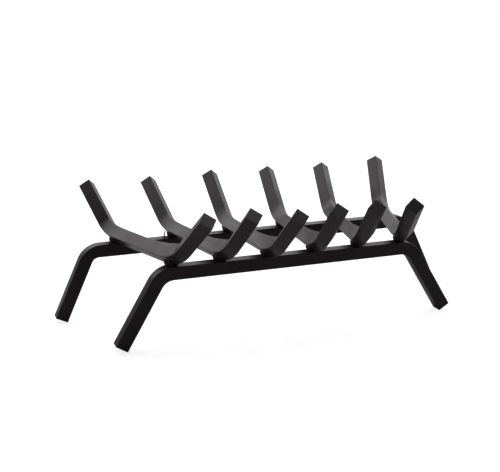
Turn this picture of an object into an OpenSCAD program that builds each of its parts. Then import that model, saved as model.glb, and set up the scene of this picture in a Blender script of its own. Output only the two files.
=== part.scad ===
// Log grate for a fireplace: two bent leg frames carry a row of bent fire
// bars, all of one square bar stock, welded where they cross.
// +Z is up and the hearth is at z = 0. The back of the grate, its narrow
// side, faces -Y, and the fire bars fan out towards the wider front.

/* [Bar stock] */
// Side of the square bar
bar_size = 19; // [16:0.5:24]

/* [Leg frames] */
// Free height under the frames, for the ash
ash_height = 96; // [60:1:140]
// Distance between the frames, centre to centre
frame_spacing = 154; // [120:1:200]
// Back frame, between the corners of its centre line
back_width = 382; // [340:1:440]
// Front frame, between the corners of its centre line
front_width = 526; // [480:1:620]
// Lean of the back legs from upright, in degrees
back_splay = 31; // [15:1:40]
// Lean of the front legs from upright, in degrees
front_splay = 25; // [15:1:40]
// Radius inside the back frame's leg bends
back_leg_bend_inner = 20; // [8:1:24]
// Radius inside the front frame's leg bends
front_leg_bend_inner = 12; // [6:1:24]
// Radius outside each leg bend
leg_bend_outer = 38; // [30:1:48]

/* [Fire bars] */
// Number of fire bars
bar_count = 6; // [4:1:8]
// From the corner of the back frame to the outer fire bars
back_margin = 16; // [14:1:40]
// From the corner of the front frame to the outer fire bars
front_margin = 40.5; // [20:0.5:80]
// Flat of a fire bar behind the back frame, to the corner of its back arm
back_overhang = 27; // [20:1:50]
// Flat of a fire bar before the front frame, to the corner of its front arm
front_overhang = 8; // [6:1:50]
// Length of the upturned back arm, from its corner
back_arm = 101; // [75:1:140]
// Length of the upturned front arm, from its corner
front_arm = 96; // [70:1:140]
// Rise of the arms above level, in degrees
arm_rise = 41; // [25:1:50]
// Radius of the back arm bends, on the centre line
back_arm_bend = 80; // [40:1:90]
// Radius of the front arm bends, on the centre line
front_arm_bend = 55; // [30:1:70]
// How much the bars stray from an even row, 1 as set by hand and 0 for none
hand_set = 1; // [0:0.1:1]

/* [Welds] */
// Width of each bead on the frame
weld_leg = 8; // [4:0.5:10]
// Hollow of the bead's face
weld_dish = 0.8; // [0.2:0.1:1.5]
// Unfilled root between a bead and the bar's lowest edge
weld_root = 0.6; // [0.3:0.1:1.5]
// From the end of a bead to the edge of the frame
weld_inset = 1; // [0.5:0.5:3]

/* [Hidden] */
$fn = 96;
SATIN_BLACK = [0.15, 0.14, 0.145];
WORN_BLACK = [0.24, 0.23, 0.235];
WELD_BLACK = [0.33, 0.31, 0.31];
BACK = -1;
FRONT = 1;
LEFT = -1;
RIGHT = 1;

// The bends of a bar are thinner by this on each side than its straights,
// and reach this many degrees into them, so that the runs join as one solid
bend_ease = 0.01;
bend_lap = 0.5;

// Length that reaches right through a bar and out on both sides
clear_through = 2 * bar_size;

// Where each fire bar was set by hand: its shift to the front in mm, and how
// many degrees more its back and front arms rise than the rest
hand_shift = [7, 3, -4, -5, -1, -3];
hand_back_rise = [0, 2, -1, 1, 0, -2];
hand_front_rise = [-1, -3, 1, 0, -1, 5];

half_bar = bar_size / 2;
half_diagonal = bar_size / sqrt(2);
// Beads reach up to here from the bar's lowest edge, just inside the bar
bead_top = 2 * (half_diagonal - weld_root) - weld_leg;
frame_axis_z = ash_height + half_bar;
frame_top_z = ash_height + bar_size;
bar_axis_z = frame_top_z + half_diagonal;
bar_flat = frame_spacing + back_overhang + front_overhang;
back_pitch = (back_width - 2 * back_margin) / (bar_count - 1);
front_pitch = (front_width - 2 * front_margin) / (bar_count - 1);
fan_pitch = front_pitch - back_pitch;

BARS = [1:bar_count];

// Fire bar i's own entry in a list of hand-set differences
function strayed(list, i) = hand_set * list[(i - 1) % len(list)];

// How many places fire bar i is right of the middle of the row
function place(i) = i - (bar_count + 1) / 2;

// Direction of fire bar i in plan, from the back to the front
function heading(i) = atan2(frame_spacing, place(i) * fan_pitch);

// Half the length of fire bar i between the two frames' centres
function half_span(i) = norm([place(i) * fan_pitch, frame_spacing]) / 2;

// How far the middle of fire bar i's flat is shifted along it to the front
function shift(i) =
    strayed(hand_shift, i) + (front_overhang - back_overhang) / 2;

function back_rise(i) = arm_rise + strayed(hand_back_rise, i);
function front_rise(i) = arm_rise + strayed(hand_front_rise, i);

// How far forward or back an arm's lowest end corner is from the middle
function arm_reach(i, shift, arm, rise) = sin(heading(i))
    * (bar_flat / 2 + shift + arm * cos(rise) + half_diagonal * sin(rise));

back_reach = max([for (i = BARS)
    arm_reach(i, -shift(i), back_arm, back_rise(i))]);
front_reach = max([for (i = BARS)
    arm_reach(i, shift(i), front_arm, front_rise(i))]);

// Moves the grate so that the origin is under the middle of its depth
module centred() {
    translate([0, (back_reach - front_reach) / 2, 0]) children();
}

// Slab with the side view of a level run and a leg down at each side, its
// corners rounded. The foot's points follow the right leg's side.
module rounded_arch(corner, leg, turn, radius, foot, depth) {
    tangent = radius * tan(turn / 2);
    right = concat([corner - [tangent, 0], corner + tangent * leg], foot);
    left = [for (k = [len(right) - 1:-1:0]) [-right[k].x, right[k].y]];
    linear_extrude(depth, center = true)
        polygon(concat(right, left));
    for (side = [LEFT, RIGHT])
        translate([side * (corner.x - tangent), corner.y - radius])
            cylinder(h = depth, r = radius - bend_ease, center = true);
}

// Bar bent down at each end, with both legs cut off square to the bar
module bent_frame(width, splay, bend_inner) {
    turn = 90 - splay;
    leg = [sin(splay), -cos(splay)];
    outward = [cos(splay), sin(splay)] * half_bar;
    corner = [width / 2, frame_axis_z];
    to_outer = [tan(turn / 2), 1] * half_bar;
    foot = corner + leg * (frame_axis_z - outward.y) / cos(splay);
    past_foot = foot - outward + leg * bar_size;
    difference() {
        rounded_arch(corner + to_outer, leg, turn, leg_bend_outer,
            [foot + outward, foot - outward], bar_size);
        rounded_arch(corner - to_outer, leg, turn, bend_inner,
            [past_foot], clear_through);
    }
}

module leg_frame(side) {
    translate([0, side * frame_spacing / 2, 0]) rotate([90, 0, 0])
        if (side == BACK)
            bent_frame(back_width, back_splay, back_leg_bend_inner);
        else
            bent_frame(front_width, front_splay, front_leg_bend_inner);
}

// Cross-section of a fire bar, which stands on one corner
module diamond(size) {
    rotate(45) square(size, center = true);
}

// Straight length of bar along +x
module straight(length) {
    rotate([90, 0, 90]) linear_extrude(length) diamond(bar_size);
}

// The upturned end of a fire bar, from the end of its flat at the origin
module upturn(arm, rise, radius) {
    tangent = radius * tan(rise / 2);
    translate([0, 0, radius]) rotate([90, 0, 0])
        rotate([0, 0, -90 - bend_lap])
            rotate_extrude(angle = rise + 2 * bend_lap)
                translate([radius, 0])
                    diamond(bar_size - 2 * bend_ease);
    translate([tangent, 0, 0]) rotate([0, -rise, 0])
        translate([tangent, 0, 0]) straight(arm - tangent);
}

// Puts its children on fire bar i, with x along the bar to the front and
// the origin on its axis, half way between the frames
module on_bar(i) {
    translate([place(i) * (front_pitch + back_pitch) / 2, 0, bar_axis_z])
        rotate([0, 0, heading(i)])
            children();
}

module bent_bar(i) {
    back_end = bar_flat / 2 - back_arm_bend * tan(back_rise(i) / 2);
    front_end = bar_flat / 2 - front_arm_bend * tan(front_rise(i) / 2);
    on_bar(i) translate([shift(i), 0, 0]) {
        translate([-back_end, 0, 0]) straight(back_end + front_end);
        translate([front_end, 0, 0])
            upturn(front_arm, front_rise(i), front_arm_bend);
        translate([-back_end, 0, 0]) mirror([1, 0, 0])
            upturn(back_arm, back_rise(i), back_arm_bend);
    }
}

// Section through the two beads of a weld before they are cut to the bar
// and the frame, from the bar's lowest edge at the origin
module bead_section() {
    dish_radius = (weld_leg * weld_leg / 4 + weld_dish * weld_dish)
        / (2 * weld_dish);
    for (side = [LEFT, RIGHT])
        difference() {
            polygon([
                [side * weld_root, -half_bar],
                [side * weld_leg, -half_bar],
                [side * weld_leg, bead_top],
                [side * weld_root, bead_top]
            ]);
            translate([
                side * (weld_leg - weld_dish + dish_radius),
                weld_leg / 2
            ])
                circle(r = dish_radius);
        }
}

// The two beads that hold fire bar i on one frame, one in each groove
module beads(i, side) {
    difference() {
        intersection() {
            on_bar(i)
                translate([side * half_span(i), 0, -half_diagonal])
                    rotate([90, 0, 90])
                        linear_extrude(clear_through, center = true)
                            bead_section();
            translate([0, side * frame_spacing / 2, frame_top_z])
                cube([front_width, bar_size - 2 * weld_inset,
                    clear_through], center = true);
        }
        leg_frame(side);
        bent_bar(i);
    }
}

module back_frame() {
    color(SATIN_BLACK) centred() leg_frame(BACK);
}

module front_frame() {
    color(SATIN_BLACK) centred() leg_frame(FRONT);
}

module fire_bar(i) {
    color(WORN_BLACK) centred() bent_bar(i);
}

module back_weld(i) {
    color(WELD_BLACK) centred() beads(i, BACK);
}

module front_weld(i) {
    color(WELD_BLACK) centred() beads(i, FRONT);
}

back_frame();
front_frame();
for (i = BARS) {
    fire_bar(i);
    back_weld(i);
    front_weld(i);
}
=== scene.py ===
"""The looks of a welded log grate.

Two bent leg frames of square bar carry six fire bars of the same bar. The
fire bars stand on one corner, fan out to the wide front and turn up at both
ends. All of it is painted satin black, and a rippled weld bead fills each
groove where a fire bar crosses a frame. Lengths are in metres and angles in
degrees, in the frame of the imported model.
"""

import logging
import math
import random
from abc import ABC, abstractmethod
from collections.abc import Callable, Iterable
from dataclasses import dataclass
from enum import Enum
from typing import ClassVar

import bmesh
import bpy
from mathutils import Matrix, Vector


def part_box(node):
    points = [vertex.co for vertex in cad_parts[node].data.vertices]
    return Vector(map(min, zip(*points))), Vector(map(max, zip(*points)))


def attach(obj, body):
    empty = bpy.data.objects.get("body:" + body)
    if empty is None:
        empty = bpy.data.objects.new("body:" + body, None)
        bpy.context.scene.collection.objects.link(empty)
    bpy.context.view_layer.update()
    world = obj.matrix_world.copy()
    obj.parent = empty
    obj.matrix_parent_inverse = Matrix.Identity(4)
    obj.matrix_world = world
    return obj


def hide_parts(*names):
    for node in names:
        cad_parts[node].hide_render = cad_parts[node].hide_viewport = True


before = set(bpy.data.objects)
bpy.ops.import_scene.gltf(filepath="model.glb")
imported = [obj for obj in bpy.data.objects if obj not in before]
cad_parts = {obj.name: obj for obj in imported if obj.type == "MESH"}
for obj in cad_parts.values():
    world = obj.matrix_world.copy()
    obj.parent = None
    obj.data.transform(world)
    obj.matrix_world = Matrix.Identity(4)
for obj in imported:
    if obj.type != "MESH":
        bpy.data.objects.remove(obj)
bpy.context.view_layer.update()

LOG = logging.getLogger("log_grate")
BODY = "root"
BAR_SPACE = "bar_space"  # Where a corner was on the straight bar
TO_CUT = "to_cut"  # How far along the bar the cut end is from it
MM = 0.001
NEAR = 0.02 * MM  # Within this, two places are the same

Colour = tuple[float, float, float]
SidePlace = tuple[float, float]  # Distance along a bar, and height


class Side(Enum):
    """A side of the grate, by the sign of its depth."""

    BACK = -1
    FRONT = 1

    @property
    def label(self) -> str:
        """The side's part of a node's name."""
        return self.name.lower()


class Turn(Enum):
    """Which way a bar's ends are bent, by the sign of their height."""

    UP = 1
    DOWN = -1


class Section(Enum):
    """How the square bar lies, by its turn about its axis."""

    ON_FLAT = 0
    ON_CORNER = 45


class Slot(Enum):
    """The record's material slots."""

    FRAME = "frame_paint"
    FIRE_BAR = "fire_bar_paint"
    WELD = "weld_paint"


# --- Modelling ---------------------------------------------------------------


def pick_only(piece: bpy.types.Object) -> None:
    """Makes a piece the only selected object, and the active one.

    Args:
        piece: The piece.
    """
    bpy.ops.object.select_all(action="DESELECT")
    piece.select_set(True)
    bpy.context.view_layer.objects.active = piece


def start_from(
    primitive: Callable[..., set[str]], name: str, **values: object
) -> bpy.types.Object:
    """Adds a primitive and applies its place.

    Args:
        primitive: The operator that adds it.
        name: The name of the piece that it becomes.
        **values: The operator's settings.

    Returns:
        The new object.
    """
    bpy.ops.object.select_all(action="DESELECT")
    primitive(**values)
    piece = bpy.context.object
    piece.name = piece.data.name = name
    bpy.ops.object.transform_apply(location=True, rotation=True, scale=True)
    return piece


def start_editing(piece: bpy.types.Object) -> None:
    """Opens a piece in edit mode with nothing selected.

    Args:
        piece: The mesh object.
    """
    pick_only(piece)
    bpy.ops.object.mode_set(mode="EDIT")
    bpy.ops.mesh.select_mode(type="VERT")
    bpy.ops.mesh.select_all(action="DESELECT")


def stop_editing() -> None:
    """Leaves edit mode."""
    bpy.ops.object.mode_set(mode="OBJECT")


def stop_editing_closed() -> None:
    """Turns the edited closed mesh's faces outwards and leaves edit mode."""
    bpy.ops.mesh.select_all(action="SELECT")
    bpy.ops.mesh.normals_make_consistent(inside=False)
    stop_editing()


def select_corners(test: Callable[[bmesh.types.BMVert], bool]) -> int:
    """Selects the corners of the edited mesh that pass a test, and no others.

    Args:
        test: Says of a corner whether it is wanted.

    Returns:
        How many corners are selected.
    """
    mesh = bpy.context.edit_object.data
    shape = bmesh.from_edit_mesh(mesh)
    for part in (*shape.faces, *shape.edges):
        part.select = False
    for corner in shape.verts:
        corner.select = test(corner)
    shape.select_flush(True)
    bmesh.update_edit_mesh(mesh)
    return sum(corner.select for corner in shape.verts)


def select_edges(test: Callable[[bmesh.types.BMEdge], bool]) -> None:
    """Selects the edges of the edited mesh that pass a test, and no others.

    Args:
        test: Says of an edge whether it is wanted.
    """
    bpy.ops.mesh.select_all(action="DESELECT")
    bpy.ops.mesh.select_mode(type="EDGE")
    mesh = bpy.context.edit_object.data
    for edge in bmesh.from_edit_mesh(mesh).edges:
        if test(edge):
            edge.select = True
    bmesh.update_edit_mesh(mesh)


def apply_modifier(piece: bpy.types.Object, kind: str, **values: object) -> None:
    """Adds a modifier to a piece and applies it.

    Args:
        piece: The mesh object.
        kind: The modifier's type.
        **values: The modifier's own settings.
    """
    pick_only(piece)
    modifier = piece.modifiers.new(kind.lower(), kind)
    for name, value in values.items():
        setattr(modifier, name, value)
    bpy.ops.object.modifier_apply(modifier=modifier.name)


def put(piece: bpy.types.Object, place: Matrix) -> None:
    """Moves a piece to its place and leaves its object at the origin.

    Args:
        piece: The mesh object, modelled round its own origin.
        place: Where its origin and axes go.
    """
    piece.matrix_world = place @ piece.matrix_world
    pick_only(piece)
    bpy.ops.object.transform_apply(location=True, rotation=True, scale=True)


def join(pieces: list[bpy.types.Object], name: str) -> bpy.types.Object:
    """Joins pieces into one.

    Args:
        pieces: The pieces.
        name: The name of the one they become.

    Returns:
        The joined piece.
    """
    pick_only(pieces[0])
    for piece in pieces:
        piece.select_set(True)
    bpy.ops.object.join()
    pieces[0].name = pieces[0].data.name = name
    return pieces[0]


def smooth(piece: bpy.types.Object) -> None:
    """Shades a piece smooth all over.

    Args:
        piece: The mesh object.
    """
    pick_only(piece)
    bpy.ops.object.shade_smooth()


def dress(
    piece: bpy.types.Object,
    material: bpy.types.Material,
    nodes: Iterable[str] = (),
) -> None:
    """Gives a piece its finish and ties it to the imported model.

    Args:
        piece: The finished piece.
        material: Its finish.
        nodes: The nodes that the piece stands for.
    """
    piece.data.materials.clear()
    piece.data.materials.append(material)
    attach(piece, BODY)
    for node in nodes:
        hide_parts(node)
    LOG.info("%s: %d faces", piece.name, len(piece.data.polygons))


# --- Square bar --------------------------------------------------------------


@dataclass(frozen=True)
class BarStock:
    """The square bar that the whole grate is made of."""

    size: float = 19 * MM
    edge_radius: float = 0.9 * MM
    edge_segments: int = 3
    saw_edge_share: float = 0.45

    @property
    def half(self) -> float:
        """Half the bar's side."""
        return self.size / 2

    @property
    def half_diagonal(self) -> float:
        """From the bar's axis to its corners."""
        return self.size / math.sqrt(2)

    def edge_heights(self, section: Section) -> tuple[float, ...]:
        """Says how high the bar's long edges lie.

        Args:
            section: How the bar lies.

        Returns:
            The edges' heights over its axis, highest first.
        """
        if section is Section.ON_FLAT:
            return self.half, -self.half
        return self.half_diagonal, 0.0, -self.half_diagonal


@dataclass(frozen=True)
class Bend:
    """A bar's bend and the arm after it, seen at +X and turning up.

    Bending pushes the innermost edge up, from the length of the swell before
    that edge's corner to the length of the crease after it, on the arm. With
    a crispness of 1 it is folded there, and with 0 it runs in smoothly.
    """

    corner: float
    turn: float
    inner_radius: float
    outer_radius: float
    arm: float
    crease: float = 0.0
    swell: float = 0.0
    crispness: float = 1.0
    crease_step: int = 13
    steps: int = 18

    @property
    def half_turn_slope(self) -> float:
        """Tangent of half the turn."""
        return math.tan(math.radians(self.turn) / 2)

    @property
    def mean_radius(self) -> float:
        """Radius of the bend on the bar's axis."""
        return (self.inner_radius + self.outer_radius) / 2

    @property
    def start(self) -> float:
        """Where the bend starts on the bar's axis."""
        return self.corner - self.mean_radius * self.half_turn_slope

    @property
    def unrolled_corner(self) -> float:
        """Where the arm's length is counted from, on the straight bar."""
        turn = math.radians(self.turn)
        return self.start + self.mean_radius * (turn - self.half_turn_slope)

    @property
    def length(self) -> float:
        """From the middle of the straight bar to its cut end."""
        return self.unrolled_corner + self.arm

    def on_bend(self, rise: float, share: float, reach: float) -> SidePlace:
        """Says where a long edge of the bar is, part of the way round the bend.

        Args:
            rise: Height of the edge over the axis, towards the inside.
            share: 0 at the start of the bend and 1 at its end.
            reach: Height of the innermost edge over the axis.

        Returns:
            Its place.
        """
        outward = (reach - rise) / (2 * reach)
        radius = self.inner_radius + outward * (self.outer_radius - self.inner_radius)
        if self.crease and outward == 0.0:
            return self._creased(rise, share)
        angle = share * math.radians(self.turn)
        start = self.corner - (rise + radius) * self.half_turn_slope
        return start + radius * math.sin(angle), rise + radius * (1 - math.cos(angle))

    def _creased(self, rise: float, share: float) -> SidePlace:
        """Says where the innermost edge is, which the bending pushed up.

        Args:
            rise: Height of the edge over the axis.
            share: 0 at the start of the bend and 1 at its end.

        Returns:
            Its place.
        """
        turn = math.radians(self.turn)
        corner = self.corner - rise * self.half_turn_slope
        before = share * self.steps / self.crease_step
        if before <= 1:
            past_corner = self.crease * math.cos(turn)
            lean = self.crispness * (past_corner - self.swell) / 2
            x = past_corner * before**2 - self.swell * (1 - before) ** 2
            x += 2 * lean * before * (1 - before)
            return corner + x, rise + self.crease * math.sin(turn) * before**2
        past = (share * self.steps - self.crease_step) / (self.steps - self.crease_step)
        end = self.inner_radius * self.half_turn_slope
        along = self.crease + past * (end - self.crease)
        return corner + along * math.cos(turn), rise + along * math.sin(turn)

    def at_cut(self, rise: float) -> SidePlace:
        """Says where a long edge of the bar ends.

        Args:
            rise: Height of the edge over the axis, towards the inside.

        Returns:
            The place of its end.
        """
        turn = math.radians(self.turn)
        return (
            self.corner + self.arm * math.cos(turn) - rise * math.sin(turn),
            self.arm * math.sin(turn) + rise * math.cos(turn),
        )

    def unrolled(self, x: float, z: float) -> SidePlace:
        """Says where a point of the bar was before it was bent.

        Args:
            x: The point's distance along X.
            z: Its height, towards the inside of the bend.

        Returns:
            Its place on the straight bar.
        """
        turn = math.radians(self.turn)
        past = x - self.start
        if past <= 0:
            return x, z
        angle = math.atan2(past, self.mean_radius - z)
        if angle < turn:
            from_centre = math.hypot(past, self.mean_radius - z)
            return self.start + self.mean_radius * angle, self.mean_radius - from_centre
        ahead = x - self.corner
        along = ahead * math.cos(turn) + z * math.sin(turn)
        return (
            self.unrolled_corner + along,
            z * math.cos(turn) - ahead * math.sin(turn),
        )


@dataclass(frozen=True)
class BentBar:
    """A square bar that lies along X and is bent near both ends."""

    name: str
    stock: BarStock
    section: Section
    way: Turn
    bends: dict[Side, Bend]
    cut_from: float = 0.0
    sharp_from: float = 60.0

    def model(self) -> bpy.types.Object:
        """Models the bar round its own origin.

        Returns:
            The bar, with its edges rounded and its unrolled shape noted.
        """
        bar = start_from(
            bpy.ops.mesh.primitive_cube_add,
            self.name,
            size=self.stock.size,
            rotation=(math.radians(self.section.value), 0, 0),
        )
        start_editing(bar)
        for side, bend in self.bends.items():
            self._grow(side, bend)
        self._weigh_edges()
        stop_editing()
        apply_modifier(
            bar,
            "BEVEL",
            width=self.stock.edge_radius,
            segments=self.stock.edge_segments,
            limit_method="WEIGHT",
        )
        self._note_bar_space(bar)
        smooth(bar)
        return bar

    def _grow(self, side: Side, bend: Bend) -> None:
        """Draws one end face out to its bend, round it and along its arm.

        Args:
            side: The end that is drawn out.
            bend: Its bend and arm.
        """
        heights = self.stock.edge_heights(self.section)
        rises = [self.way.value * height for height in heights]
        stations = [
            {rise: bend.on_bend(rise, step / bend.steps, heights[0]) for rise in rises}
            for step in range(bend.steps + 1)
        ]
        stations.append({rise: bend.at_cut(rise) for rise in rises})
        at = {rise: (self.stock.half, rise) for rise in rises}
        for number, station in enumerate(stations):
            places = tuple(at.values())
            select_corners(lambda v, places=places: self._at(v.co, side, places))
            if number:
                bpy.ops.mesh.extrude_region_move()
            self._move_tip(side, at, station)
            at = station

    def _at(self, corner: Vector, side: Side, places: Iterable[SidePlace]) -> bool:
        """Says whether a corner is at one of some places in the side view.

        Args:
            corner: The corner's own place.
            side: The end of the bar that the places are at.
            places: The places.

        Returns:
            Whether it is at one of them.
        """
        return any(
            abs(side.value * corner.x - x) < NEAR
            and abs(self.way.value * corner.z - z) < NEAR
            for x, z in places
        )

    def _move_tip(
        self, side: Side, at: dict[float, SidePlace], to: dict[float, SidePlace]
    ) -> None:
        """Moves the selected end face from one station to the next.

        Args:
            side: The end of the bar.
            at: Where the long edges end now.
            to: Where they go.
        """
        shape = bmesh.from_edit_mesh(bpy.context.edit_object.data)
        tip = {corner.index for corner in shape.verts if corner.select}
        for rise, (x, z) in at.items():
            place = ((x, z),)
            select_corners(
                lambda v, place=place: v.index in tip and self._at(v.co, side, place)
            )
            new_x, new_z = to[rise]
            bpy.ops.transform.translate(
                value=(side.value * (new_x - x), 0, self.way.value * (new_z - z))
            )

    def _weigh_edges(self) -> None:
        """Marks the long edges to be rounded, and the sawn edges a little."""
        heights = self.stock.edge_heights(self.section)
        cuts = {
            side: [bend.at_cut(self.way.value * height) for height in heights]
            for side, bend in self.bends.items()
        }

        def is_sawn(edge: bmesh.types.BMEdge) -> bool:
            """Says whether an edge is on the rim of a cut end."""
            return any(
                all(self._at(corner.co, side, places) for corner in face.verts)
                for face in edge.link_faces
                for side, places in cuts.items()
            )

        def is_long(edge: bmesh.types.BMEdge) -> bool:
            """Says whether an edge runs along the bar at one of its corners."""
            sharp = edge.calc_face_angle(0) > math.radians(self.sharp_from)
            return sharp and not is_sawn(edge)

        select_edges(is_long)
        bpy.ops.transform.edge_bevelweight(value=1)
        select_edges(is_sawn)
        bpy.ops.transform.edge_bevelweight(value=self.stock.saw_edge_share)

    def _note_bar_space(self, bar: bpy.types.Object) -> None:
        """Notes where each corner was on the straight bar, for the finishes.

        The distance along the bar is counted from where the mill's long bar
        was cut, so that no two pieces share their marks.

        Args:
            bar: The bar, round its own origin.
        """
        attributes = bar.data.attributes
        attributes.new(BAR_SPACE, "FLOAT_VECTOR", "POINT")
        attributes.new(TO_CUT, "FLOAT", "POINT")
        noted, to_cut = attributes[BAR_SPACE], attributes[TO_CUT]
        slant = math.radians(self.section.value)
        way = self.way.value
        for corner in bar.data.vertices:
            x, y, z = corner.co
            side = Side.FRONT if x > 0 else Side.BACK
            bend = self.bends[side]
            along, rise = bend.unrolled(abs(x), way * z)
            up = way * rise
            noted.data[corner.index].vector = (
                self.cut_from + side.value * along,
                y * math.cos(slant) + up * math.sin(slant),
                up * math.cos(slant) - y * math.sin(slant),
            )
            to_cut.data[corner.index].value = bend.length - along


def finish_bar(
    bar: BentBar, place: Matrix, material: bpy.types.Material, node: str
) -> None:
    """Models a bar, puts it in its place and dresses it.

    Args:
        bar: The bar.
        place: Where its origin and axes go.
        material: Its paint.
        node: The node that it stands for.
    """
    piece = bar.model()
    put(piece, place)
    apply_modifier(piece, "WEIGHTED_NORMAL", weight=100, keep_sharp=True)
    dress(piece, material, [node])


# --- The grate ---------------------------------------------------------------


@dataclass(frozen=True)
class Layout:
    """Where the bars go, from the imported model's own boxes."""

    stock: BarStock = BarStock()
    bars: int = 6
    back_pitch: float = 70 * MM
    front_pitch: float = 89 * MM

    def depth(self, side: Side) -> float:
        """Depth of the axis of the leg frame at a side."""
        low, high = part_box(f"{side.label}_frame")
        return (low.y + high.y) / 2

    @property
    def spacing(self) -> float:
        """Distance between the two leg frames' axes."""
        return self.depth(Side.FRONT) - self.depth(Side.BACK)

    @property
    def middle_depth(self) -> float:
        """Depth half way between the leg frames."""
        return (self.depth(Side.FRONT) + self.depth(Side.BACK)) / 2

    @property
    def frame_top(self) -> float:
        """Height of the leg frames' flat tops."""
        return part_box("back_frame")[1].z

    @property
    def bar_axis(self) -> float:
        """Height of the fire bars' axes."""
        return self.frame_top + self.stock.half_diagonal


@dataclass(frozen=True)
class LegFrame:
    """One bent bar that stands on its two cut ends."""

    side: Side
    layout: Layout
    width: float
    splay: float
    inner_radius: float
    outer_radius: float = 38 * MM
    cut_from: float = 0.0

    def build(self, finish: bpy.types.Material) -> None:
        """Models the frame and dresses it.

        Args:
            finish: The frame's paint.
        """
        stock = self.layout.stock
        axis = self.layout.frame_top - stock.half
        splay = math.radians(self.splay)
        bend = Bend(
            corner=self.width / 2,
            turn=90 - self.splay,
            inner_radius=self.inner_radius,
            outer_radius=self.outer_radius,
            arm=(axis - stock.half * math.sin(splay)) / math.cos(splay),
        )
        bar = BentBar(
            f"{self.side.label}_leg_frame",
            stock,
            Section.ON_FLAT,
            Turn.DOWN,
            {side: bend for side in Side},
            self.cut_from,
        )
        place = Matrix.Translation((0, self.layout.depth(self.side), axis))
        finish_bar(bar, place, finish, f"{self.side.label}_frame")


@dataclass(frozen=True)
class ArmShape:
    """The fire bars' arms at one side of the grate, without their rise."""

    length: float
    radius: float
    crease: float
    swell: float
    crispness: float


@dataclass(frozen=True)
class FireBar:
    """One of the bars that the logs lie on."""

    number: int
    layout: Layout
    shift: float
    rises: dict[Side, float]
    flat: float = 189 * MM
    cut_pitch: float = 0.61
    back_arm: ArmShape = ArmShape(
        length=101 * MM, radius=80 * MM, crease=14 * MM, swell=75 * MM, crispness=1.0
    )
    front_arm: ArmShape = ArmShape(
        length=96 * MM, radius=55 * MM, crease=12 * MM, swell=50 * MM, crispness=0.0
    )

    @property
    def place(self) -> float:
        """How many places the bar is right of the middle of the row."""
        return self.number - (self.layout.bars + 1) / 2

    @property
    def fan(self) -> float:
        """How much further right the bar is at the front frame."""
        return self.place * (self.layout.front_pitch - self.layout.back_pitch)

    @property
    def heading(self) -> float:
        """Direction of the bar in plan, from +X, in radians."""
        return math.atan2(self.layout.spacing, self.fan)

    @property
    def half_span(self) -> float:
        """Half the bar's length between the two frames' axes."""
        return math.hypot(self.layout.spacing, self.fan) / 2

    @property
    def on_bar(self) -> Matrix:
        """The bar's own axes: X along it to the front, from mid-span."""
        middle = self.place * (self.layout.front_pitch + self.layout.back_pitch) / 2
        return Matrix.Translation(
            (middle, self.layout.middle_depth, self.layout.bar_axis)
        ) @ Matrix.Rotation(self.heading, 4, "Z")

    def bend(self, side: Side) -> Bend:
        """Sets out the bar's bend and arm at one end.

        Args:
            side: The end.

        Returns:
            The bend.
        """
        arm = self.front_arm if side is Side.FRONT else self.back_arm
        reach = self.layout.stock.half_diagonal
        return Bend(
            corner=self.flat / 2 + side.value * self.shift,
            turn=self.rises[side],
            inner_radius=arm.radius - reach,
            outer_radius=arm.radius + reach,
            arm=arm.length,
            crease=arm.crease,
            swell=arm.swell,
            crispness=arm.crispness,
        )

    def lift(self, side: Side, past: float) -> float:
        """Says how far the bar's lowest edge has risen over the frame.

        Args:
            side: The frame that it crosses.
            past: Distance along the bar beyond the frame's axis, outwards.

        Returns:
            The rise of the edge there.
        """
        bend = self.bend(side)
        into = self.half_span + past - bend.start
        if into <= 0:
            return 0.0
        return bend.outer_radius - math.sqrt(bend.outer_radius**2 - into**2)

    def build(self, finish: bpy.types.Material) -> None:
        """Models the bar and dresses it.

        Args:
            finish: The bar's paint.
        """
        bar = BentBar(
            f"fire_bar_{self.number}_painted",
            self.layout.stock,
            Section.ON_CORNER,
            Turn.UP,
            {side: self.bend(side) for side in Side},
            self.number * self.cut_pitch,
        )
        finish_bar(bar, self.on_bar, finish, f"fire_bar_{self.number}")


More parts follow.
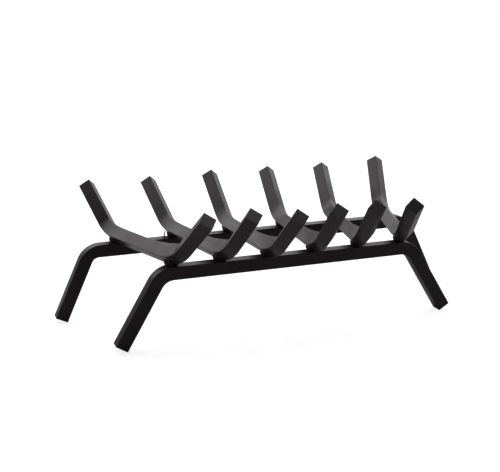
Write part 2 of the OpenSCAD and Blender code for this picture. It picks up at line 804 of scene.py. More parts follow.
@dataclass(frozen=True)
class WeldBead:
    """The two beads that hold a fire bar on a leg frame.

    A bead fills the groove beside the bar's lowest edge. It is modelled on
    the bar's right, with X away from the groove's root and Y along the bar.
    """

    bar: FireBar
    side: Side
    reach: float
    middle_share: float = 0.57
    radius_share: float = 0.43
    middle_height: float = 3.6 * MM
    up: float = 4.7 * MM
    length: float = 17.2 * MM
    corners: int = 24
    ripple_pitch: float = 1.7 * MM
    ripple_swell: float = 0.035
    swell_spread: tuple[float, float] = (0.3, 1.5)
    first_ripple: float = 2.1 * MM
    last_pitches: float = 2.4
    crescent: float = 1.5 * MM
    tip_size: float = 0.34
    waver: float = 0.22 * MM
    uneven: float = 0.22
    lump_size: float = 3 * MM
    lump_height: float = 0.5 * MM
    # How far in from a tip a ring is, and its size
    tip_rings: tuple[tuple[float, float], ...] = (
        (0.3 * MM, 0.62),
        (0.8 * MM, 0.82),
        (1.5 * MM, 0.94),
    )
    # Where in a ripple's pitch a ring is, and its share of the swell
    ripple_rings: tuple[tuple[float, int], ...] = ((0, -1), (0.4, 0), (0.85, 1))

    @property
    def name(self) -> str:
        """The weld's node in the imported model."""
        return f"{self.side.label}_weld_{self.bar.number}"

    @property
    def across(self) -> float:
        """Half the bead's width."""
        return self.radius_share * self.reach

    @property
    def middle(self) -> float:
        """From the groove's root to the bead's middle."""
        return self.middle_share * self.reach

    def build(self, finish: bpy.types.Material) -> None:
        """Models both beads as one piece and dresses it.

        Args:
            finish: The paint over the weld.
        """
        chance = random.Random(self.name)
        beads = [self._bead(chance) for _ in range(2)]
        put(beads[1], Matrix.Scale(-1, 4, Vector((1, 0, 0))))
        start_editing(beads[1])
        stop_editing_closed()
        weld = join(beads, f"{self.name}_beads")
        root = Matrix.Translation(
            (
                self.side.value * self.bar.half_span,
                0,
                -self.bar.layout.stock.half_diagonal,
            )
        )
        turned = Matrix.Rotation(-math.pi / 2, 4, "Z")
        put(weld, self.bar.on_bar @ root @ turned)
        texture = bpy.data.textures.new("weld_unevenness", "CLOUDS")
        texture.noise_scale = self.lump_size
        apply_modifier(
            weld,
            "DISPLACE",
            texture=texture,
            strength=self.lump_height,
            texture_coords="LOCAL",
        )
        smooth(weld)
        dress(weld, finish, [self.name])

    def _bead(self, chance: random.Random) -> bpy.types.Object:
        """Models the right-hand bead, ripple by ripple, from back to front.

        Args:
            chance: Makes each ripple a little different.

        Returns:
            The bead.
        """
        x, z, start = self.middle, self.middle_height, -self.length / 2
        bead = start_from(
            bpy.ops.mesh.primitive_circle_add,
            f"{self.name}_bead",
            vertices=self.corners,
            radius=1,
            fill_type="NGON",
            rotation=(math.pi / 2, 0, 0),
        )
        start_editing(bead)
        bpy.ops.mesh.select_all(action="SELECT")
        bpy.ops.transform.resize(value=(self.across, 1, self.up))
        bpy.ops.transform.translate(value=(x, start, z))
        self._bow_ring()
        bpy.ops.mesh.select_all(action="SELECT")
        bpy.ops.transform.resize(
            value=(self.tip_size, 1, self.tip_size), center_override=(x, start, z)
        )
        size, lift, done, strayed = self.tip_size, 1.0, start, 0.0
        for place, new_size in self._rings(chance):
            rise = self.bar.lift(self.side, self.side.value * place)
            new_lift = 1 + rise / (z + self.up)
            new_stray = chance.uniform(-self.waver, self.waver)
            bpy.ops.mesh.extrude_region_move(
                TRANSFORM_OT_translate={"value": (new_stray - strayed, place - done, 0)}
            )
            grown = new_size / size
            bpy.ops.transform.resize(
                value=(grown, 1, grown), center_override=(x + new_stray, place, z)
            )
            bpy.ops.transform.resize(
                value=(1, 1, new_lift / lift), center_override=(x, place, 0)
            )
            size, lift, done, strayed = new_size, new_lift, place, new_stray
        stop_editing_closed()
        return bead

    def _bow_ring(self) -> None:
        """Bows the first ring, so that every ripple is a crescent."""
        for step in range(self.corners // 2 + 1):
            out = self.across * math.cos(math.tau * step / self.corners)
            at = self.middle + out
            if select_corners(lambda v, at=at: abs(v.co.x - at) < NEAR):
                forward = self.crescent * (at - self.middle) / self.across
                bpy.ops.transform.translate(value=(0, forward, 0))

    def _rings(self, chance: random.Random) -> list[tuple[float, float]]:
        """Sets out the rings after the first, from back to front.

        Args:
            chance: Makes each ripple a little different.

        Returns:
            Each ring's place along the bead and its size.
        """
        half = self.length / 2
        rings = [(-half + inward, size) for inward, size in self.tip_rings]
        at = -half + self.first_ripple
        while at < half - self.last_pitches * self.ripple_pitch:
            pitch = self.ripple_pitch * chance.uniform(1 - self.uneven, 1 + self.uneven)
            swell = self.ripple_swell * chance.uniform(*self.swell_spread)
            rings.extend(
                (at + share * pitch, 1 + grown * swell)
                for share, grown in self.ripple_rings
            )
            at += pitch
        rings.extend((half - inward, size) for inward, size in reversed(self.tip_rings))
        rings.append((half, self.tip_size))
        return rings


@dataclass(frozen=True)
class Spatter:
    """Drops of metal that the welding threw on the frame beside a weld."""

    weld: WeldBead
    drops: int = 6
    nearest: float = 10 * MM
    farthest: float = 27 * MM
    margin: float = 1.5 * MM
    sizes: tuple[float, float] = (0.35 * MM, 0.85 * MM)
    flatness: float = 0.6
    narrowness: float = 0.85
    middle_rise: float = 0.2
    seat: float = -0.3
    seat_spread: float = 1.2
    cap_from: float = 0.9
    cap_shift: tuple[float, float, float] = (0.12, 0, -0.05)

    def build(self, finish: bpy.types.Material) -> None:
        """Models one drop, copies it to its places and dresses them all.

        Args:
            finish: The paint over the drops.
        """
        chance = random.Random(f"{self.weld.name} spatter")
        drops = [self._drop()]
        for _ in range(1, self.drops):
            copy = drops[0].copy()
            copy.data = drops[0].data.copy()
            bpy.context.scene.collection.objects.link(copy)
            drops.append(copy)
        for drop in drops:
            self._throw(drop, chance)
        piece = join(drops, f"{self.weld.name}_spatter")
        smooth(piece)
        dress(piece, finish)

    def _drop(self) -> bpy.types.Object:
        """Models a drop of unit size that lies on its flat side.

        Returns:
            The drop.
        """
        drop = start_from(
            bpy.ops.mesh.primitive_uv_sphere_add,
            f"{self.weld.name}_drop",
            segments=14,
            ring_count=9,
            radius=1,
        )
        start_editing(drop)
        select_corners(lambda v: v.co.z < self.seat)
        bpy.ops.transform.resize(
            value=(self.seat_spread, self.seat_spread, 0.0),
            center_override=(0, 0, self.seat),
        )
        select_corners(lambda v: v.co.z > self.cap_from)
        bpy.ops.transform.translate(value=self.cap_shift)
        stop_editing()
        return drop

    def _throw(self, drop: bpy.types.Object, chance: random.Random) -> None:
        """Puts a drop down beside the weld.

        Args:
            drop: The drop.
            chance: Says where, and how large it is.
        """
        bar, side = self.weld.bar, self.weld.side
        crossing = bar.on_bar @ Vector((side.value * bar.half_span, 0, 0))
        away = chance.choice((-1, 1)) * chance.uniform(self.nearest, self.farthest)
        if bar.number in (1, bar.layout.bars):
            # The frame bends down beyond its outer fire bars
            away = -math.copysign(away, crossing.x)
        inside = bar.layout.stock.half - self.margin
        size = chance.uniform(*self.sizes)
        place = (
            crossing.x + away,
            crossing.y + chance.uniform(-inside, inside),
            bar.layout.frame_top + self.middle_rise * size * self.flatness,
        )
        turn = Matrix.Rotation(chance.uniform(0, math.tau), 4, "Z")
        scale = Matrix.Diagonal((size, self.narrowness * size, size * self.flatness, 1))
        put(drop, Matrix.Translation(place) @ turn @ scale)


@dataclass(frozen=True)
class WireStub:
    """A bowed stub of welding wire that was left on the front frame."""

    foot: tuple[float, float, float] = (-147.6 * MM, 80.7 * MM, 114.6 * MM)
    tip: tuple[float, float, float] = (-145.8 * MM, 80.3 * MM, 127.6 * MM)
    bow: float = 1.8 * MM
    radius: float = 0.95 * MM
    tip_share: float = 0.5
    steps: int = 12
    corners: int = 10
    sharp_from: float = 50.0

    def build(self, finish: bpy.types.Material) -> None:
        """Draws the wire out from its foot and dresses it.

        Args:
            finish: The paint over the wire.
        """
        wire = start_from(
            bpy.ops.mesh.primitive_circle_add,
            "front_weld_2_wire_stub",
            vertices=self.corners,
            radius=self.radius,
            fill_type="NGON",
            location=self.foot,
        )
        start_editing(wire)
        bpy.ops.mesh.select_all(action="SELECT")
        places = [self._along(step / self.steps) for step in range(self.steps + 1)]
        for last, place in zip(places, places[1:]):
            bpy.ops.mesh.extrude_region_move(
                TRANSFORM_OT_translate={"value": tuple(place - last)}
            )
        bpy.ops.transform.resize(
            value=(self.tip_share, self.tip_share, 1), center_override=self.tip
        )
        stop_editing_closed()
        pick_only(wire)
        bpy.ops.object.shade_smooth_by_angle(angle=math.radians(self.sharp_from))
        dress(wire, finish)

    def _along(self, share: float) -> Vector:
        """The wire's middle, part of the way from its foot to its tip."""
        straight = Vector(self.foot).lerp(Vector(self.tip), share)
        return straight - Vector((4 * self.bow * share * (1 - share), 0, 0))


# --- Shader wiring -----------------------------------------------------------

Socket = bpy.types.NodeSocket
Operand = Socket | float


@dataclass(frozen=True)
class Wiring:
    """Adds shader nodes to one tree and links them."""

    tree: bpy.types.NodeTree

    def add(
        self, kind: str, inputs: dict[str | int, object], **settings: object
    ) -> bpy.types.Node:
        """Adds a node.

        Args:
            kind: The node's type.
            inputs: What its input sockets are set to or linked from.
            **settings: The node's own settings.

        Returns:
            The new node.
        """
        node = self.tree.nodes.new(kind)
        for name, value in settings.items():
            setattr(node, name, value)
        for key, value in inputs.items():
            if isinstance(value, Socket):
                self.tree.links.new(value, node.inputs[key])
            else:
                node.inputs[key].default_value = value
        return node

    def math(self, operation: str, *operands: Operand) -> Socket:
        """Adds a calculation, and returns its result."""
        inputs = dict(enumerate(operands))
        return self.add("ShaderNodeMath", inputs, operation=operation).outputs[0]

    def plus(self, one: Operand, other: Operand) -> Socket:
        """Adds two values."""
        return self.math("ADD", one, other)

    def minus(self, one: Operand, other: Operand) -> Socket:
        """Takes one value from another."""
        return self.math("SUBTRACT", one, other)

    def times(self, one: Operand, other: Operand) -> Socket:
        """Multiplies two values."""
        return self.math("MULTIPLY", one, other)

    def over(self, one: Operand, other: Operand) -> Socket:
        """Divides one value by another."""
        return self.math("DIVIDE", one, other)

    def summed(self, base: Operand, parts: Iterable[tuple[Socket, Operand]]) -> Socket:
        """Adds shares of values to a base.

        Args:
            base: What they are added to.
            parts: Each value and how much of it is added.

        Returns:
            The sum.
        """
        for value, share in parts:
            base = self.math("MULTIPLY_ADD", value, share, base)
        return base

    def vector(self, operation: str, *operands: Socket | Colour) -> bpy.types.Node:
        """Adds a calculation with vectors, and returns its node."""
        inputs = dict(enumerate(operands))
        return self.add("ShaderNodeVectorMath", inputs, operation=operation)

    def split(self, vector: Socket) -> tuple[Socket, Socket, Socket]:
        """Takes a vector apart."""
        return tuple(self.add("ShaderNodeSeparateXYZ", {0: vector}).outputs)

    def join(self, x: Operand, y: Operand, z: Operand) -> Socket:
        """Puts a vector together."""
        return self.add("ShaderNodeCombineXYZ", {0: x, 1: y, 2: z}).outputs[0]

    def noise(
        self, place: Socket, scale: Operand, detail: float = 2.0, seed: Operand = 0.0
    ) -> Socket:
        """Adds noise round 0.5.

        Args:
            place: Where it is sampled.
            scale: How many lumps go in a metre.
            detail: How many finer layers are added.
            seed: Which of all the noises it is.

        Returns:
            The noise.
        """
        inputs = {"Vector": place, "W": seed, "Scale": scale, "Detail": detail}
        node = self.add("ShaderNodeTexNoise", inputs, noise_dimensions="4D")
        return node.outputs[0]

    def lumps(
        self, place: Socket, size: Operand, detail: float = 2.0, seed: float = 0.0
    ) -> Socket:
        """Adds noise by the size of its lumps.

        Args:
            place: Where it is sampled.
            size: The size of a lump.
            detail: How many finer layers are added.
            seed: Which of all the noises it is.

        Returns:
            The noise.
        """
        return self.noise(place, self.over(1.0, size), detail, seed)

    def ease(
        self,
        value: Socket,
        low: Operand,
        high: Operand,
        at_low: Operand = 0.0,
        at_high: Operand = 1.0,
    ) -> Socket:
        """Eases from one level to another while a value crosses a range.

        Args:
            value: The value.
            low: Where the range starts.
            high: Where it ends.
            at_low: The level up to the start.
            at_high: The level from the end on.

        Returns:
            The level.
        """
        inputs = {0: value, 1: low, 2: high, 3: at_low, 4: at_high}
        node = self.add("ShaderNodeMapRange", inputs, interpolation_type="SMOOTHSTEP")
        return node.outputs[0]

    def layered(
        self, under: Colour, coats: Iterable[tuple[Operand, float, Colour]]
    ) -> Socket:
        """Lays colours over one another.

        Args:
            under: The lowest colour.
            coats: How much of each next colour lies on it, how well that
                hides what is under it, and the colour.

        Returns:
            The mixed colour.
        """
        mixed = (*under, 1.0)
        for lies, hides, colour in coats:
            share = lies if hides == 1 else self.times(lies, hides)
            # Of the Mix node's sockets, 6 and 7 are its colours
            inputs = {0: share, 6: mixed, 7: (*colour, 1.0)}
            mixed = self.add("ShaderNodeMix", inputs, data_type="RGBA").outputs[2]
        return mixed

    def relief(self, heights: Iterable[tuple[Socket, float]]) -> Socket:
        """Turns heights into one shading normal.

        Args:
            heights: Each height, from 0 to 1, and its depth in metres.

        Returns:
            The normal.
        """
        below = {}
        for height, depth in heights:
            inputs = {"Height": height, "Distance": depth, "Strength": 1.0} | below
            below = {"Normal": self.add("ShaderNodeBump", inputs).outputs[0]}
        return below["Normal"]


class Effect(ABC):
    """A surface effect that finishes share, as a shader node group.

    Its group takes a place, and then the values that the effect names.
    """

    name: ClassVar[str]
    takes: ClassVar[tuple[str, ...]]
    gives: ClassVar[tuple[str, ...]]

    @abstractmethod
    def wire(self, w: Wiring, *given: Socket) -> tuple[Socket, ...]:
        """Wires the effect up inside its group.

        Args:
            w: The group's wiring.
            *given: The place and the values that the group takes, in order.

        Returns:
            What the group gives, in order.
        """

    def tree(self) -> bpy.types.NodeTree:
        """Finds the effect's node group, or makes it when it is first wanted.

        Returns:
            The group.
        """
        made = bpy.data.node_groups.get(self.name)
        if made:
            return made
        tree = bpy.data.node_groups.new(self.name, "ShaderNodeTree")
        sockets = [("Place", "INPUT", "NodeSocketVector")]
        sockets += [(name, "INPUT", "NodeSocketFloat") for name in self.takes]
        sockets += [(name, "OUTPUT", "NodeSocketFloat") for name in self.gives]
        for name, way, kind in sockets:
            tree.interface.new_socket(name, in_out=way, socket_type=kind)
        start = tree.nodes.new("NodeGroupInput")
        end = tree.nodes.new("NodeGroupOutput")
        given = [start.outputs[name] for name in ("Place", *self.takes)]
        results = self.wire(Wiring(tree), *given)
        for name, result in zip(self.gives, results, strict=True):
            tree.links.new(result, end.inputs[name])
        return tree

    def place(self, w: Wiring, place: Socket, **values: Operand) -> tuple[Socket, ...]:
        """Places the effect in a material.

        Args:
            w: The material's wiring.
            place: Where on the piece the shader is.
            **values: What else the effect takes, by name.

        Returns:
            What it gives, in order.
        """
        inputs = {"Place": place}
        for name, value in values.items():
            inputs[name.replace("_", " ").title()] = value
        node = w.add("ShaderNodeGroup", inputs, node_tree=self.tree())
        return tuple(node.outputs[name] for name in self.gives)


class MillStreaks(Effect):
    """Lengthwise marks that the rolls left on the bar."""

    name = "mill_streaks"
    takes = ("Length", "Width", "Seed")
    gives = ("Streaks",)

    def wire(self, w: Wiring, *given: Socket) -> tuple[Socket, ...]:
        """Stretches noise along the bar.

        Args:
            w: The group's wiring.
            *given: The place and the values that the effect takes.

        Returns:
            The streaks.
        """
        place, length, width, seed = given
        along, across, up = w.split(place)
        stretched = w.join(
            w.over(along, length), w.over(across, width), w.over(up, width)
        )
        return (w.ease(w.noise(stretched, 1.0, 3.0, seed), 0.3, 0.7),)


class SprayGrain(Effect):
    """The fine grain of sprayed paint, over slow unevenness."""

    name = "spray_grain"
    takes = ("Grain", "Patch")
    gives = ("Grain", "Patches")

    def wire(self, w: Wiring, *given: Socket) -> tuple[Socket, ...]:
        """Adds noise at two scales.

        Args:
            w: The group's wiring.
            *given: The place and the values that the effect takes.

        Returns:
            The grain and the slow patches.
        """
        place, grain, patch = given
        fine = w.lumps(place, grain)
        return fine, w.ease(w.lumps(place, patch, 3.0, seed=7.0), 0.32, 0.68)


class EdgeWear(Effect):
    """Paint rubbed thin on the long edges of the bar and round its cut ends."""

    name = "edge_wear"
    takes = ("To Cut", "Half", "Reach", "Patch")
    gives = ("Worn",)

    def wire(self, w: Wiring, *given: Socket) -> tuple[Socket, ...]:
        """Wears the paint by the distance from an edge, in patches.

        Args:
            w: The group's wiring.
            *given: The place and the values that the effect takes.

        Returns:
            Where the paint is worn.
        """
        place, to_cut, half, reach, patch = given
        _, across, up = w.split(place)
        across, up = w.math("ABSOLUTE", across), w.math("ABSOLUTE", up)
        from_edge = w.minus(w.times(half, 2.0), w.plus(across, up))
        from_side = w.minus(half, w.math("MAXIMUM", across, up))
        nearest = w.math("MINIMUM", from_edge, w.plus(from_side, to_cut))
        near = w.ease(nearest, 0.0, reach, 1.0, 0.0)
        patches = w.ease(w.lumps(place, patch, 4.0, seed=3.0), 0.42, 0.62)
        return (w.times(near, patches),)


class Scratches(Effect):
    """A few fine scratches, mostly along the bar."""

    name = "scratches"
    takes = ("Length", "Width", "Share")
    gives = ("Scratched",)

    def wire(self, w: Wiring, *given: Socket) -> tuple[Socket, ...]:
        """Keeps thin walls between long cells, where noise lets them show.

        Args:
            w: The group's wiring.
            *given: The place and the values that the effect takes.

        Returns:
            Where the paint is scratched.
        """
        place, length, width, share = given
        bowed = w.noise(place, 25.0, 1.0, seed=11.0)
        along, across, up = w.split(place)
        bow = w.times(w.minus(bowed, 0.5), length)
        sideways = w.plus(across, w.times(bow, 0.35))
        apart = w.times(width, 24.0)
        stretched = w.join(
            w.over(along, length), w.over(sideways, apart), w.over(up, apart)
        )
        walls = w.add(
            "ShaderNodeTexVoronoi",
            {"Vector": stretched, "Scale": 1.0},
            feature="DISTANCE_TO_EDGE",
        ).outputs["Distance"]
        thin = w.ease(walls, 0.0, 0.045, 1.0, 0.0)
        shown = w.noise(place, 60.0, 1.0, seed=5.0)
        limit = w.minus(0.75, w.times(share, 0.5))
        return (w.times(thin, w.ease(shown, limit, 0.78)),)


class SettledDust(Effect):
    """Dust on what faces up, in patches."""

    name = "settled_dust"
    takes = ("Patch", "Speck")
    gives = ("Dust",)

    def wire(self, w: Wiring, *given: Socket) -> tuple[Socket, ...]:
        """Lets dust lie by the slope of the surface.

        Args:
            w: The group's wiring.
            *given: The place and the values that the effect takes.

        Returns:
            How thick the dust lies.
        """
        place, patch, speck = given
        normal = w.add("ShaderNodeNewGeometry", {}).outputs["Normal"]
        level = w.ease(w.split(normal)[2], 0.25, 0.95)
        patches = w.lumps(place, patch, 4.0, seed=2.0)
        specks = w.lumps(place, speck, 1.0, seed=9.0)
        lies = w.times(w.ease(patches, 0.35, 0.7), w.ease(specks, 0.45, 0.75))
        return (w.times(level, lies),)


class ScalePits(Effect):
    """Shallow pits that mill scale left under the paint."""

    name = "scale_pits"
    takes = ("Size", "Share")
    gives = ("Depth",)

    def wire(self, w: Wiring, *given: Socket) -> tuple[Socket, ...]:
        """Sinks round cells here and there.

        Args:
            w: The group's wiring.
            *given: The place and the values that the effect takes.

        Returns:
            The pits' depth.
        """
        place, size, share = given
        scale = w.over(1.0, size)
        cells = w.add(
            "ShaderNodeTexVoronoi",
            {"Vector": place, "Scale": scale, "Smoothness": 0.4},
            feature="SMOOTH_F1",
        ).outputs["Distance"]
        pit = w.ease(cells, 0.1, 0.5, 1.0, 0.0)
        where = w.noise(place, w.times(scale, 0.2), seed=4.0)
        limit = w.minus(0.8, w.times(share, 0.5))
        return (w.times(pit, w.ease(where, limit, 0.8)),)


class CornerSoot(Effect):
    """Painted shade: the paint is darkened by ambient occlusion in the corners beside
    the welds, where shade falls.
    """

    name = "corner_soot"
    takes = ("Reach", "Patch")
    gives = ("Soot",)

    def wire(self, w: Wiring, *given: Socket) -> tuple[Socket, ...]:
        """Darkens the paint where other pieces are near, as painted shade.

        Args:
            w: The group's wiring.
            *given: The place and the values that the effect takes.

        Returns:
            How much the painted shade darkens the paint.
        """
        place, reach, patch = given
        occlusion = w.add("ShaderNodeAmbientOcclusion", {"Distance": reach}, samples=6)
        limit = w.summed(0.72, [(w.lumps(place, patch, 3.0, seed=8.0), 0.3)])
        return (w.ease(occlusion.outputs["AO"], 0.35, limit, 1.0, 0.0),)


class SawMarks(Effect):
    """The saw's fine grooves over a cut end, and nowhere else."""

    name = "saw_marks"
    takes = ("To Cut", "Pitch", "Seed")
    gives = ("Grooves", "Sawn")

    def wire(self, w: Wiring, *given: Socket) -> tuple[Socket, ...]:
        """Runs slightly bowed grooves over the face.

        Args:
            w: The group's wiring.
            *given: The place and the values that the effect takes.

        Returns:
            The grooves, and where the bar is sawn.
        """
        place, to_cut, pitch, seed = given
        _, across, up = w.split(place)
        drift = w.noise(place, 90.0, 2.0, seed)
        bow = w.times(w.times(across, across), 14.0)
        rise = w.plus(w.plus(up, bow), w.times(drift, 2 * MM))
        turns = w.over(w.times(rise, math.tau), pitch)
        wave = w.summed(0.15, [(w.math("SINE", turns), 0.15)])
        sawn = w.ease(to_cut, 0.05 * MM, 0.4 * MM, 1.0, 0.0)
        coarse = w.noise(w.join(0.0, 0.0, rise), 1300.0, 3.0, seed)
        torn = w.noise(place, 700.0, 2.0, seed)
        return w.times(w.times(w.plus(coarse, wave), torn), sawn), sawn


# --- Finishes ----------------------------------------------------------------


@dataclass(frozen=True)
class Look:
    """What a finish hands to its material's shader."""

    colour: Socket
    roughness: Socket
    normal: Socket


@dataclass(frozen=True)
class Finish(ABC):
    """Satin black high-temperature paint, in one of its states."""

    slot: Slot
    colour: Colour
    roughness: float
    specular: float = 0.5
    sheen_tint: Colour = (1.0, 0.9, 0.93)
    dust: Colour = (0.16, 0.145, 0.135)
    dust_share: float = 0.12
    # Painted shade colour: laid in corners by ambient occlusion, and in random patches
    # over the welds
    soot: Colour = (0.0015, 0.0014, 0.0014)

    @abstractmethod
    def look(self, w: Wiring) -> Look:
        """Wires up the finish's colour, roughness and relief.

        Args:
            w: The material's wiring.

        Returns:
            What the shader is given.
        """

    def material(self) -> bpy.types.Material:
        """Makes the finish's material.

        Returns:
            The material, under its slot's name.
        """
        material = bpy.data.materials.new(self.slot.value)
        material.use_nodes = True
        tree = material.node_tree
        shader = tree.nodes["Principled BSDF"]
        shader.inputs["Specular IOR Level"].default_value = self.specular
        shader.inputs["Specular Tint"].default_value = (*self.sheen_tint, 1.0)
        look = self.look(Wiring(tree))
        tree.links.new(look.colour, shader.inputs["Base Color"])
        tree.links.new(look.roughness, shader.inputs["Roughness"])
        tree.links.new(look.normal, shader.inputs["Normal"])
        return material


@dataclass(frozen=True)
class BarPaint(Finish):
    """The paint on the bar stock."""

    streaked: Colour = (0.034, 0.029, 0.0305)
    streak_share: float = 0.5
    rubbed: Colour = (0.12, 0.115, 0.112)
    rubbed_share: float = 0.35
    # How much of the painted corner shade is laid on
    soot_share: float = 0.8
    wear_reach: float = 1.6 * MM
    stock: BarStock = BarStock()

    def look(self, w: Wiring) -> Look:
        """Wires up streaked, grained and slightly worn paint.

        Args:
            w: The material's wiring.

        Returns:
            What the shader is given.
        """
        noted = w.add("ShaderNodeAttribute", {}, attribute_name=BAR_SPACE)
        place = noted.outputs["Vector"]
        cut = w.add("ShaderNodeAttribute", {}, attribute_name=TO_CUT)
        to_cut = cut.outputs["Fac"]
        (streaks,) = MillStreaks().place(
            w, place, length=160 * MM, width=2.2 * MM, seed=0.0
        )
        (hairs,) = MillStreaks().place(
            w, place, length=55 * MM, width=0.45 * MM, seed=6.0
        )
        grain, patches = SprayGrain().place(w, place, grain=0.55 * MM, patch=26 * MM)
        (worn,) = EdgeWear().place(
            w,
            place,
            to_cut=to_cut,
            half=self.stock.half,
            reach=self.wear_reach,
            patch=9 * MM,
        )
        (scratched,) = Scratches().place(
            w, place, length=50 * MM, width=0.12 * MM, share=0.5
        )
        (dusty,) = SettledDust().place(w, place, patch=30 * MM, speck=1.1 * MM)
        (pits,) = ScalePits().place(w, place, size=2.4 * MM, share=0.5)
        grooves, sawn = SawMarks().place(
            w, place, to_cut=to_cut, pitch=0.8 * MM, seed=2.0
        )
        # Painted shade: ambient occlusion darkens the paint in the corners beside welds
        # and under bars, and roughens it there
        (soot,) = CornerSoot().place(w, place, reach=22 * MM, patch=12 * MM)
        lengthwise = w.summed(w.times(hairs, 0.3), [(streaks, 0.7)])
        streak = w.times(w.times(lengthwise, self.streak_share), w.minus(1.0, sawn))
        bare = w.math("MAXIMUM", worn, w.times(scratched, 0.7))
        colour = w.layered(
            self.colour,
            [
                (streak, 1, self.streaked),
                (bare, self.rubbed_share, self.rubbed),
                (dusty, self.dust_share, self.dust),
                # painted shade in the corners
                (soot, self.soot_share, self.soot),
            ],
        )
        rough = w.summed(
            self.roughness - 0.035,
            [
                (patches, 0.07),
                (soot, 0.2),
                (lengthwise, 0.06),
                (dusty, 0.12),
                (sawn, 0.08),
                (bare, -0.05),
            ],
        )
        normal = w.relief(
            [
                (lengthwise, 0.035 * MM),
                (w.minus(1.0, pits), 0.05 * MM),
                (grooves, 0.14 * MM),
                (w.minus(1.0, scratched), 0.02 * MM),
                (grain, 0.02 * MM),
            ]
        )
        return Look(colour, rough, normal)


@dataclass(frozen=True)
class WeldPaint(Finish):
    """The same paint over the weld beads, painted darker than on the bars as painted
    shade of the grooves, with darker patches at random.
    """

    def look(self, w: Wiring) -> Look:
        """Wires up dark pitted paint: painted shade, with random darker patches.

        Args:
            w: The material's wiring.

        Returns:
            What the shader is given.
        """
        place = w.add("ShaderNodeTexCoord", {}).outputs["Object"]
        grain, patches = SprayGrain().place(w, place, grain=0.4 * MM, patch=5 * MM)
        (pits,) = ScalePits().place(w, place, size=1.1 * MM, share=0.9)
        (dusty,) = SettledDust().place(w, place, patch=12 * MM, speck=0.8 * MM)
        # Random patches in the painted shade colour, over the weld colour that is
        # already darkened as painted shade
        coats = [(patches, 1, self.soot), (dusty, self.dust_share, self.dust)]
        depths = [
            (patches, 0.12 * MM),
            (w.minus(1.0, pits), 0.1 * MM),
            (grain, 0.03 * MM),
        ]
        rough = w.summed(self.roughness - 0.08, [(patches, 0.16), (dusty, 0.1)])
        return Look(w.layered(self.colour, coats), rough, w.relief(depths))


FRAME_PAINT = BarPaint(
    Slot.FRAME,
    colour=(0.0088, 0.0062, 0.0069),
    roughness=0.36,
    streaked=(0.0145, 0.0107, 0.0117),
    rubbed=(0.06, 0.055, 0.054),
    rubbed_share=0.25,
    dust_share=0.06,
    specular=0.42,
)
FIRE_BAR_PAINT = BarPaint(
    Slot.FIRE_BAR, colour=(0.0208, 0.0165, 0.0178), roughness=0.29
)
# Painted shade: the weld paint is darker than the bars' paint, though both are one
# paint; the spatter and the wire stub share it
WELD_PAINT = WeldPaint(
    Slot.WELD, colour=(0.0036, 0.003, 0.0032), roughness=0.55, specular=0.28
)


# --- Studio ------------------------------------------------------------------


@dataclass(frozen=True)
class PhotoCamera:
    """The camera at the photograph's place, with its frame 500 pixels wide."""

    place: tuple[float, float, float] = (-0.4812, -1.2727, 0.4766)
    bearing: float = 19.204
    drop: float = 14.507
    roll: float = -0.747
    focal_pixels: float = 939.07
    frame_pixels: int = 500
    sensor: float = 36.0

    def build(self) -> None:
        """Sets the camera up and makes it the scene's own."""
        data = bpy.data.cameras.new("photo_camera")
        data.sensor_width = self.sensor
        data.lens = self.focal_pixels * self.sensor / self.frame_pixels
        camera = bpy.data.objects.new("photo_camera", data)
        bpy.context.scene.collection.objects.link(camera)
        camera.matrix_world = (
            Matrix.Translation(self.place)
            @ Matrix.Rotation(math.radians(-self.bearing), 4, "Z")
            @ Matrix.Rotation(math.radians(90 - self.drop), 4, "X")
            @ Matrix.Rotation(math.radians(self.roll), 4, "Z")
        )
        bpy.context.scene.camera = camera


def toward(bearing: float, rise: float, distance: float = 1.0) -> Vector:
    """Finds a place as seen from the middle of the grate.

    Args:
        bearing: Degrees to the right of +Y.
        rise: Degrees above level.
        distance: How far away it is.

    Returns:
        The place.
    """
    turn, up = math.radians(bearing), math.radians(rise)
    level = distance * math.cos(up)
    return Vector(
        (level * math.sin(turn), level * math.cos(turn), distance * math.sin(up))
    )


@dataclass(frozen=True)
class Softbox:
    """A rectangular lamp that faces the grate."""

    name: str
    bearing: float
    rise: float
    size: tuple[float, float]
    radiance: float
    distance: float = 1.6
    height: float = 0.12

    def build(self) -> None:
        """Hangs the lamp up."""
        data = bpy.data.lights.new(self.name, "AREA")
        data.shape = "RECTANGLE"
        data.size, data.size_y = self.size
        data.energy = self.radiance * math.pi * self.size[0] * self.size[1]
        lamp = bpy.data.objects.new(self.name, data)
        bpy.context.scene.collection.objects.link(lamp)
        away = toward(self.bearing, self.rise, self.distance)
        lamp.matrix_world = (
            Matrix.Translation(away + Vector((0, 0, self.height)))
            @ away.to_track_quat("Z", "Y").to_matrix().to_4x4()
        )
        lamp.visible_camera = False


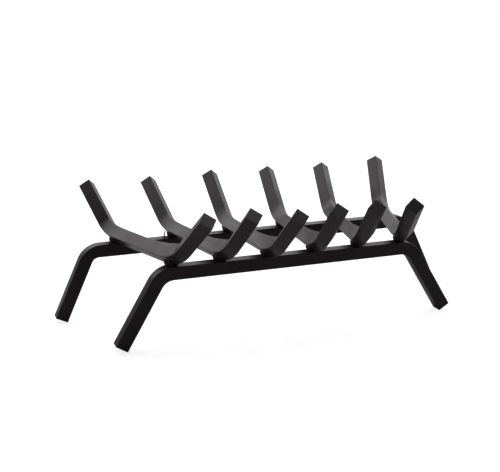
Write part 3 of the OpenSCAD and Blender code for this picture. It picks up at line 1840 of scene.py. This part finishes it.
@dataclass(frozen=True)
class Sweep:
    """How bright the white sweep behind the grate is as seen from it."""

    bearing: float = 41.0
    full_within: float = 30.0
    gone_beyond: float = 51.5
    full_up_to: float = 35.0
    gone_above: float = 60.0
    aside: float = 0.2
    front: float = 0.06
    front_to_aside: tuple[float, float] = (-0.6, 0.3)
    level: float = 1.5
    low_share: float = 0.22
    low_up_to: float = 0.3

    def brightness(self, w: Wiring, direction: Socket) -> Socket:
        """Wires up the sweep's brightness in a direction.

        Args:
            w: The world's wiring.
            direction: The direction.

        Returns:
            The brightness.
        """
        level = w.vector("MULTIPLY", direction, (1.0, 1.0, 0.0)).outputs[0]
        level = w.vector("NORMALIZE", level).outputs[0]
        bearing = tuple(toward(self.bearing, 0.0))
        off = w.vector("DOT_PRODUCT", level, bearing).outputs["Value"]
        height = w.split(direction)[2]
        wide = w.ease(
            off,
            math.cos(math.radians(self.gone_beyond)),
            math.cos(math.radians(self.full_within)),
        )
        rise = w.ease(
            height,
            math.sin(math.radians(self.full_up_to)),
            math.sin(math.radians(self.gone_above)),
            1.0,
            0.0,
        )
        rest = w.ease(off, *self.front_to_aside, self.front, self.aside)
        low = w.ease(height, 0.0, self.low_up_to, self.low_share, 1.0)
        swept = w.times(w.times(wide, rise), low)
        return w.plus(rest, w.times(swept, w.minus(self.level, rest)))


@dataclass(frozen=True)
class Studio:
    """A white sweep under soft lamps."""

    floor_size: float = 14.0
    floor_grey: float = 0.58
    floor_glow: float = 0.8
    white_from: float = 0.4
    white_to: float = 1.1
    far_glow: float = 0.5
    glow_from: float = 0.7
    glow_to: float = 2.6
    sweep: Sweep = Sweep()
    lamps: tuple[Softbox, ...] = (
        Softbox("top_softbox", bearing=10, rise=66, size=(1.3, 0.9), radiance=1.5),
        Softbox("left_softbox", bearing=-44, rise=33, size=(1.85, 1.04), radiance=1.45),
        Softbox("right_softbox", bearing=110, rise=58, size=(0.8, 0.8), radiance=0.95),
    )

    def build(self) -> None:
        """Lays the floor, hangs the lamps and sets the world up."""
        for lamp in self.lamps:
            lamp.build()
        self._floor()
        self._world()
        bpy.context.scene.view_settings.view_transform = "Standard"

    @staticmethod
    def _seen_or_lit(w: Wiring, other: Operand, seen: Operand) -> Socket:
        """Tells what the camera sees from what lights the grate.

        Args:
            w: The wiring.
            other: The strength for all other rays.
            seen: The strength that the camera sees.

        Returns:
            The strength.
        """
        path = w.add("ShaderNodeLightPath", {}).outputs
        looks = w.math("MAXIMUM", path["Is Camera Ray"], path["Is Transmission Ray"])
        # Of the Mix node's sockets, 2 and 3 are its values
        return w.add("ShaderNodeMix", {0: looks, 2: other, 3: seen}).outputs[0]

    def _floor(self) -> None:
        """Lays a white floor that keeps a faint shadow."""
        floor = start_from(
            bpy.ops.mesh.primitive_plane_add, "floor", size=self.floor_size
        )
        material = bpy.data.materials.new("white_sweep")
        material.use_nodes = True
        nodes, links = material.node_tree.nodes, material.node_tree.links
        nodes.remove(nodes["Principled BSDF"])
        w = Wiring(material.node_tree)
        place = w.add("ShaderNodeTexCoord", {}).outputs["Object"]
        behind = w.vector("DOT_PRODUCT", place, tuple(toward(self.sweep.bearing, 0.0)))
        far = w.ease(
            behind.outputs["Value"], self.glow_from, self.glow_to, 0.0, self.far_glow
        )
        away = w.vector("LENGTH", place).outputs["Value"]
        white = w.ease(away, self.white_from, self.white_to, self.floor_glow, 1.0)
        strength = self._seen_or_lit(w, far, white)
        glow = w.add("ShaderNodeEmission", {"Strength": strength})
        grey = (self.floor_grey,) * 3 + (1.0,)
        matt = w.add("ShaderNodeBsdfDiffuse", {"Color": grey})
        both = w.add("ShaderNodeAddShader", {0: glow.outputs[0], 1: matt.outputs[0]})
        links.new(both.outputs[0], nodes["Material Output"].inputs["Surface"])
        floor.data.materials.append(material)

    def _world(self) -> None:
        """Shows white behind the grate and lights it from the sweep."""
        world = bpy.data.worlds.new("studio")
        bpy.context.scene.world = world
        world.use_nodes = True
        tree = world.node_tree
        w = Wiring(tree)
        direction = w.add("ShaderNodeTexCoord", {}).outputs["Generated"]
        lit = self.sweep.brightness(w, direction)
        back = tree.nodes["Background"]
        back.inputs["Color"].default_value = (1, 1, 1, 1)
        tree.links.new(self._seen_or_lit(w, lit, 1.0), back.inputs["Strength"])


@dataclass(frozen=True)
class LogGrate:
    """The whole grate, with its fire bars as they were set by hand."""

    layout: Layout = Layout()
    mean_shift: float = -9.5
    shifts: tuple[float, ...] = (7, 3, -4, -5, -1, -3)
    mean_rise: float = 41.0
    back_rises: tuple[float, ...] = (0, 2, -1, 1, 0, -2)
    front_rises: tuple[float, ...] = (-1, -3, 1, 0, -1, 5)
    back_bead: float = 7.7 * MM
    front_bead: float = 5.6 * MM

    def build(self) -> None:
        """Builds every piece of the grate."""
        frame_paint = FRAME_PAINT.material()
        bar_paint = FIRE_BAR_PAINT.material()
        weld_paint = WELD_PAINT.material()
        leg_frames = (
            LegFrame(
                Side.BACK, self.layout, width=382 * MM, splay=31, inner_radius=20 * MM
            ),
            LegFrame(
                Side.FRONT,
                self.layout,
                width=526 * MM,
                splay=25,
                inner_radius=12 * MM,
                cut_from=5.3,
            ),
        )
        for leg_frame in leg_frames:
            leg_frame.build(frame_paint)
        beads = {Side.BACK: self.back_bead, Side.FRONT: self.front_bead}
        strays = zip(self.shifts, self.back_rises, self.front_rises)
        for number, (shift, *strayed) in enumerate(strays, start=1):
            rises = {side: self.mean_rise + more for side, more in zip(Side, strayed)}
            bar = FireBar(number, self.layout, (self.mean_shift + shift) * MM, rises)
            bar.build(bar_paint)
            for side, reach in beads.items():
                weld = WeldBead(bar, side, reach)
                weld.build(weld_paint)
                Spatter(weld).build(weld_paint)
        WireStub().build(weld_paint)


def main() -> None:
    """Builds the studio and the grate."""
    logging.basicConfig(level=logging.INFO, format="%(message)s")
    PhotoCamera().build()
    LogGrate().build()
    Studio().build()


if __name__ == "__main__":
    main()
